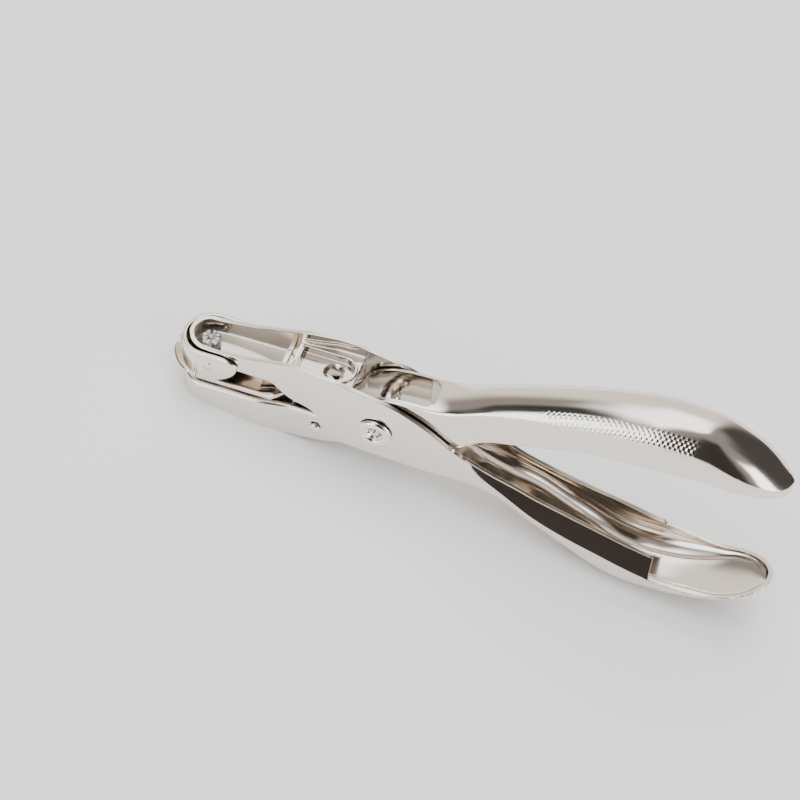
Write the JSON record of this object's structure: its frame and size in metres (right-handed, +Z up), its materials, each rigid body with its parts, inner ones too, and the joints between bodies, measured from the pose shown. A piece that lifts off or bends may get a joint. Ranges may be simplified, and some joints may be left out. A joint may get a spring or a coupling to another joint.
{
  "type": "single-hole plier punch",
  "caption": "Plier-type single-hole paper punch: crossed sheet-metal levers on a tubular rivet, guide plate, round punch pin and die.",
  "frame": {"origin": "bottom centre of the object's box: the floor point under the middle of its length and width", "axes": "+X from the jaws to the handle ends, +Z up, +Y away from the near side; the tool stands on the die jaw's edges and the lower handle's belly, and is symmetric across Y"},
  "size_m": [0.1392, 0.0168, 0.0554],
  "materials": {
    "nickel": "polished nickel plate on steel sheet",
    "rivet": "bright nickel-plated steel",
    "pin_steel": "ground hardened steel",
    "spring_steel": "rolled spring steel strip"
  },
  "bodies": {
    "die_side": {"die_lever": "nickel", "guide_plate": "nickel", "guide_rivet_near": "rivet", "guide_rivet_far": "rivet", "die_bush": "pin_steel", "return_spring": "spring_steel", "spring_rivet": "rivet"},
    "punch_side": {"punch_lever": "nickel", "punch_pin": "pin_steel", "pivot_post": "rivet", "pivot_barrel": "rivet"}
  },
  "joints": [
    {"name": "squeeze_hinge", "type": "hinge", "parent": "die_side", "child": "punch_side", "pos_m": [-0.02175, 0, 0.0154], "axis": [0, -1, 0], "range_deg": [0, 4], "stiffness_Nm_per_rad": 2, "springref_deg": -3.44, "deforming": ["return_spring"]}
  ]
}
